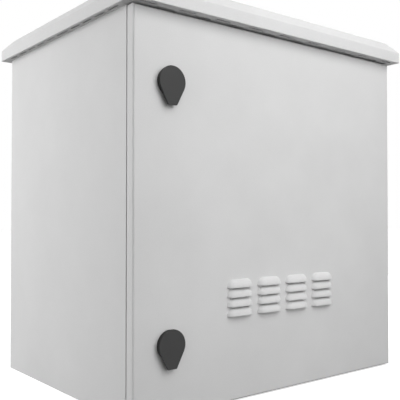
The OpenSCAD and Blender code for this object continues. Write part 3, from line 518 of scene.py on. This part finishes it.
def guard_tree():
    """Rings of round wire on four spokes, each spoke ending in an eye for a screw."""
    tree, sizes = new_tree("wire_guard", "Inner radius", "Ring step", "Rings", "Wire radius",
                           "Eye reach", "Eye radius")
    count = put(tree, "FunctionNodeFloatToInt", {0: sizes["Rings"]})
    many = put(tree, "GeometryNodeDuplicateElements",
               {"Geometry": ring(tree, 64, 1.0), "Amount": count[0]}, domain="SPLINE")
    radius = put(tree, "ShaderNodeMath",
                 {0: many["Duplicate Index"], 1: sizes["Ring step"], 2: sizes["Inner radius"]},
                 operation="MULTIPLY_ADD")
    spot = put(tree, "GeometryNodeInputPosition", {})
    wide = put(tree, "ShaderNodeVectorMath", {0: spot[0], "Scale": radius[0]}, operation="SCALE")
    rings = put(tree, "GeometryNodeSetPosition",
                {"Geometry": many["Geometry"], "Position": wide[0]})
    start = put(tree, "ShaderNodeCombineXYZ", {"X": sizes["Inner radius"]})
    end = put(tree, "ShaderNodeCombineXYZ",
              {"X": less(tree, sizes["Eye reach"], sizes["Eye radius"])})
    arm = put(tree, "GeometryNodeCurvePrimitiveLine", {"Start": start[0], "End": end[0]})
    out = put(tree, "ShaderNodeCombineXYZ", {"X": sizes["Eye reach"]})
    eye = put(tree, "GeometryNodeTransform",
              {"Geometry": ring(tree, 20, sizes["Eye radius"]), "Translation": out[0]})
    spoke = joined(tree, arm["Curve"], eye[0])
    corners = put(tree, "GeometryNodeMeshCircle", {"Vertices": 4, "Radius": 1.0})
    facing = put(tree, "GeometryNodeInputPosition", {})
    turned = put(tree, "FunctionNodeAlignRotationToVector", {"Vector": facing[0]}, axis="X")
    around = put(tree, "GeometryNodeInstanceOnPoints",
                 {"Points": corners["Mesh"], "Instance": spoke, "Rotation": turned[0]})
    back = put(tree, "ShaderNodeVectorMath", {0: facing[0], "Scale": -1.0}, operation="SCALE")
    centred = put(tree, "GeometryNodeTranslateInstances",
                  {"Instances": around[0], "Translation": back[0], "Local Space": False})
    cross = put(tree, "GeometryNodeRealizeInstances", {"Geometry": centred[0]})
    diagonal = put(tree, "GeometryNodeTransform",
                   {"Geometry": cross[0], "Rotation": (0, 0, math.radians(45))})
    wires = joined(tree, rings[0], diagonal[0])
    place_all(tree, sizes, swept(tree, wires, ring(tree, 8, sizes["Wire radius"])))
    return tree


def screw_tree():
    """A pan head screw with a cross recess, seated at the origin, with its shank going down."""
    dome_spread = 1.15
    cross_length, cross_width, cross_depth = 1.2, 0.26, 1.2
    tree, sizes = new_tree("pan_screw", "Head radius", "Head height", "Shank radius",
                           "Shank length")
    head_radius, head_height = sizes["Head radius"], sizes["Head height"]
    flat = raised(tree, cylinder(tree, 32, head_radius, head_height), times(tree, head_height, 0.5))
    ball = put(tree, "GeometryNodeMeshUVSphere", {"Segments": 32, "Rings": 16, "Radius": 1.0})
    broad = times(tree, head_radius, dome_spread)
    squat = put(tree, "ShaderNodeCombineXYZ", {"X": broad, "Y": broad, "Z": head_height})
    dome = put(tree, "GeometryNodeTransform", {"Geometry": ball["Mesh"], "Scale": squat[0]})
    head = combined(tree, "INTERSECT", flat, dome[0])
    bar = put(tree, "ShaderNodeCombineXYZ", {
        "X": times(tree, head_radius, cross_length), "Y": times(tree, head_radius, cross_width),
        "Z": times(tree, head_height, cross_depth),
    })
    slots = []
    for turn in (0, 90):
        cut = put(tree, "GeometryNodeMeshCube", {"Size": bar[0]})
        turned = put(tree, "GeometryNodeTransform",
                     {"Geometry": cut["Mesh"], "Rotation": (0, 0, math.radians(turn))})
        slots.append(raised(tree, turned[0], head_height))
    whole = with_shank(tree, sizes, head, 20, screw_grip)
    place_all(tree, sizes, combined(tree, "DIFFERENCE", whole, *slots))
    return tree


m4_radius = 0.002
screw_grip = 0.2
guard, screw = guard_tree(), screw_tree()


def pan_screws(name, node, axis, head):
    """Puts M4 screws in place of a CAD node's solids, which are all alike."""
    low, high = solids(node)[0]
    length = abs((high - low).dot(axis))
    screws = grown(name, screw, seats(node, axis, head), {
        "Head radius": (high.x - low.x) / 2, "Head height": head, "Shank radius": m4_radius,
        "Shank length": length - (1 - screw_grip) * head,
    }, zinc_bolt)
    stand_for(screws, "cabinet", "zinc", node)


bright_steel = galvanised("bright_steel", light=(0.50, 0.50, 0.51), dark=(0.38, 0.38, 0.39),
                          spangle=250.0)
up, down = Vector((0, 0, 1)), Vector((0, 0, -1))
guard_inner, guard_rings, wire_radius, eye_radius = 0.0118, 5, 0.0010, 0.0038
screw_pitch = 0.105
fan_head = 0.0024
for side in ("left", "right"):
    low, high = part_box(f"{side}_fan_guard")
    middle = (Vector(low) + Vector(high)) / 2
    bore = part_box(f"{side}_fan_rotor")
    outer = (bore[1][0] - bore[0][0]) / 2 + wire_radius
    wires = grown(f"{side}_wire_guard", guard, [(middle, up)], {
        "Inner radius": guard_inner, "Ring step": (outer - guard_inner) / (guard_rings - 1),
        "Rings": guard_rings, "Wire radius": wire_radius,
        "Eye reach": screw_pitch / math.sqrt(2), "Eye radius": eye_radius,
    }, bright_steel)
    stand_for(wires, "cabinet", "steel", f"{side}_fan_guard")
pan_screws("fan_pan_screws", "fan_screws", down, fan_head)


# Cable entry. A screwed steel plate over the opening in the floor, with three blind
# grommets of black rubber that are cut open for a cable when one is drawn in.
def soft_rubber(name, light, dark, pore, relief):
    """Black rubber or foam: a dull bloom over fine pores."""
    rubber, tree, place = new_finish(name)
    bloom = noise(tree, place, scale=40.0, detail=4.0)
    pores = put(tree, "ShaderNodeTexVoronoi", {"Vector": place, "Scale": pore})["Distance"]
    surface(tree, {
        "Base Color": between(tree, bloom, dark, light),
        "Roughness": spread(tree, bloom, to_min=0.62, to_max=0.80),
        "Normal": skin(tree, pores, strength=relief, depth=0.0004),
        "Specular IOR Level": 0.3,
    })
    return rubber


black_rubber = soft_rubber("black_rubber", light=(0.026, 0.026, 0.027), dark=(0.014, 0.014, 0.015),
                           pore=1500.0, relief=0.1)
finish_nodes(grey_coat, "gland_plate")
finish_nodes(black_rubber, "left_grommet", "middle_grommet", "right_grommet")
gland_head = 0.0025
pan_screws("gland_pan_screws", "gland_screws", up, gland_head)


# Earth points. Threaded brass studs that stand on the floor and inside the door, each with
# a hexagon nut that clamps the earth wire.
def stud_tree():
    """A threaded stud that stands on the origin: a core with one helical ridge."""
    ridge_share = 0.45
    tree, sizes = new_tree("threaded_stud", "Radius", "Length", "Pitch")
    ridge = times(tree, sizes["Pitch"], ridge_share)
    core = less(tree, sizes["Radius"], ridge)
    rod = cylinder(tree, 24, core, sizes["Length"])
    run = less(tree, sizes["Length"], sizes["Pitch"])
    turns = put(tree, "ShaderNodeMath", {0: run, 1: sizes["Pitch"]}, operation="DIVIDE")[0]
    helix = put(tree, "GeometryNodeCurveSpiral", {
        "Resolution": 20, "Rotations": turns, "Start Radius": core, "End Radius": core,
        "Height": run,
    })
    upright = put(tree, "GeometryNodeSetCurveNormal", {"Curve": helix["Curve"]}, mode="Z_UP")
    thread = swept(tree, upright["Curve"], ring(tree, 4, ridge))
    place_all(tree, sizes, joined(
        tree,
        raised(tree, rod, times(tree, sizes["Length"], 0.5)),
        raised(tree, thread, times(tree, sizes["Pitch"], 0.5)),
    ))
    return tree


brass = galvanised("turned_brass", light=(0.62, 0.45, 0.17), dark=(0.50, 0.35, 0.12), spangle=300.0)
stud = stud_tree()
inward = Vector((0, 1, 0))
for prefix, body, axis, pitch in (
    ("earth", "cabinet", up, 0.00125),
    ("door_earth", "door", inward, 0.0010),
):
    along = 2 if axis.z else 1
    low, high = (Vector(corner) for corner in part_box(f"{prefix}_stud"))
    radius = (high.x - low.x) / 2
    rod = grown(f"{prefix}_threaded_stud", stud, seats(f"{prefix}_stud", axis),
                {"Radius": radius, "Length": high[along] - low[along], "Pitch": pitch}, brass)
    stand_for(rod, body, "brass", f"{prefix}_stud")
    low, high = (Vector(corner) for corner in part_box(f"{prefix}_nut"))
    flats = min(high[i] - low[i] for i in range(3) if i != along)
    hexnut = grown(f"{prefix}_hex_nut", nut, seats(f"{prefix}_nut", axis), {
        "Across flats": flats, "Height": high[along] - low[along], "Bore radius": radius,
    }, brass)
    stand_for(hexnut, body, "brass", f"{prefix}_nut")


# Concealed hinges. A zinc plated swan-neck arm screwed to the frame, a steel pin, and a
# block that fits into the door's corner, so that nothing of them shows outside.
for level in ("upper", "lower"):
    finish_nodes(zinc_bolt, f"{level}_hinge_arm", f"{level}_hinge_block")
    finish_nodes(bright_steel, f"{level}_hinge_pin")
hinge_head = 0.0024
pan_screws("hinge_pan_screws", "hinge_screws", inward, hinge_head)


# Roof canopy. One sheet with a flat top, hipped slopes, an upright fascia and a slotted lip;
# its outer folds have the small radius that a press brake leaves.
def eased(name, node, width, segments, chosen):
    """A copy of a CAD node with the chosen edges rounded, and with flat faces shaded flat."""
    flat_within = math.radians(0.2)
    crease = math.radians(30)
    copy = merged(node)
    bmesh.ops.dissolve_limit(copy, angle_limit=flat_within, verts=copy.verts, edges=copy.edges)
    edges = [edge for edge in copy.edges if len(edge.link_faces) == 2 and chosen(edge)]
    bmesh.ops.bevel(copy, geom=edges, offset=width, segments=segments, profile=0.5,
                    affect="EDGES", clamp_overlap=True)
    bmesh.ops.triangulate(copy, faces=[face for face in copy.faces if len(face.verts) > 4])
    mesh = bpy.data.meshes.new(name)
    copy.to_mesh(mesh)
    copy.free()
    mesh.shade_smooth()
    mesh.set_sharp_from_angle(angle=crease)
    piece = linked(name, mesh)
    flat = piece.modifiers.new("flat_faces", "WEIGHTED_NORMAL")
    flat.weight = 100
    flat.keep_sharp = True
    as_plain_mesh(piece)
    return piece


canopy_low, canopy_high = (Vector(corner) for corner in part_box("roof_canopy"))
near = 1e-5
least_fold = math.radians(20)


def outer_fold(edge):
    """True for the folds on the outside of the canopy, from the lip up to the flat top."""
    def outside(corner):
        place = corner.co
        return (min(abs(place.x - canopy_low.x), abs(place.x - canopy_high.x)) < near
                or min(abs(place.y - canopy_low.y), abs(place.y - canopy_high.y)) < near
                or abs(place.z - canopy_high.z) < near)
    return all(outside(corner) for corner in edge.verts) and edge.calc_face_angle(0) > least_fold


fold_width, fold_steps = 0.0014, 4
canopy = eased("canopy_shell", "roof_canopy", fold_width, fold_steps, outer_fold)
canopy.data.materials.append(grey_coat)
stand_for(canopy, "cabinet", "paint", "roof_canopy")
m6_bolts("canopy_hex_bolts", "canopy_bolts", down)
m6_nuts("canopy_hex_nuts", "canopy_nuts", up)


# Door. A pan of folded sheet with sixteen louvres pressed out of its skin, in the
# same powder coat as the body.
finish_nodes(grey_coat, "door_panel")


# Door gasket. A bead of black foam rubber, laid inside the door and rounded on the side
# that meets the frame's sealing lip.
def rim_at(depth):
    """A test for the sharp edges that bound a face at one depth, in Y."""
    least_turn = math.radians(60)

    def on_rim(edge):
        return (all(abs(corner.co.y - depth) < near for corner in edge.verts)
                and edge.calc_face_angle(0) > least_turn)
    return on_rim


gasket_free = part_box("door_gasket")[1][1]
bead_round, bead_steps = 0.0030, 4
foam_rubber = soft_rubber("foam_rubber", light=(0.030, 0.030, 0.031), dark=(0.016, 0.016, 0.017),
                          pore=900.0, relief=0.4)
gasket = eased("gasket_bead", "door_gasket", bead_round, bead_steps, rim_at(gasket_free))
gasket.data.materials.append(foam_rubber)
stand_for(gasket, "door", "rubber", "door_gasket")


# Air filter. A mat of charcoal open-cell foam in a galvanised tray, which hangs on
# welded studs behind the louvres and is held by four nuts.
filter_foam = soft_rubber("filter_foam", light=(0.045, 0.045, 0.047), dark=(0.016, 0.016, 0.017),
                          pore=620.0, relief=1.0)
finish_nodes(filter_foam, "filter_mat")
finish_nodes(zinc_sheet, "filter_tray")
filter_pitch = 0.0007
low, high = solids("filter_studs")[0]
stud_radius = (high.x - low.x) / 2
filter_studs = grown(
    "filter_threaded_studs", stud, seats("filter_studs", inward),
    {"Radius": stud_radius, "Length": high.y - low.y, "Pitch": filter_pitch}, zinc_bolt,
)
stand_for(filter_studs, "door", "zinc", "filter_studs")
low, high = solids("filter_nuts")[0]
filter_nuts = grown("filter_hex_nuts", nut, seats("filter_nuts", inward), {
    "Across flats": min(high.x - low.x, high.z - low.z), "Height": high.y - low.y,
    "Bore radius": stud_radius,
}, zinc_bolt)
stand_for(filter_nuts, "door", "zinc", "filter_nuts")


# Locks. A moulded body through the door's skin with a ring nut behind, a steel core with a
# key slot, and a cam that turns behind the frame.
lock_plastic = moulded_plastic("dark_grey_plastic", light=(0.026, 0.026, 0.026),
                               dark=(0.021, 0.021, 0.021), rough=0.55, grain_scale=900.0)
for level in ("upper", "lower"):
    finish_nodes(lock_plastic, f"{level}_lock_body")
    finish_nodes(bright_steel, f"{level}_lock_core")
    finish_nodes(zinc_bolt, f"{level}_lock_nut", f"{level}_lock_cam", f"{level}_cam_screw")


# Lock covers. Teardrop swing covers of dark grey plastic, each hung on a post above the
# core to keep rain out, with the slightly rounded edge of a moulding.
rim_round, rim_steps = 0.0006, 3
for level in ("upper", "lower"):
    cover_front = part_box(f"{level}_lock_cover")[0][1]
    cover = eased(f"{level}_swing_cover", f"{level}_lock_cover", rim_round, rim_steps,
                  rim_at(cover_front))
    cover.data.materials.append(lock_plastic)
    stand_for(cover, f"{level}_cover", "cover_plastic", f"{level}_lock_cover")
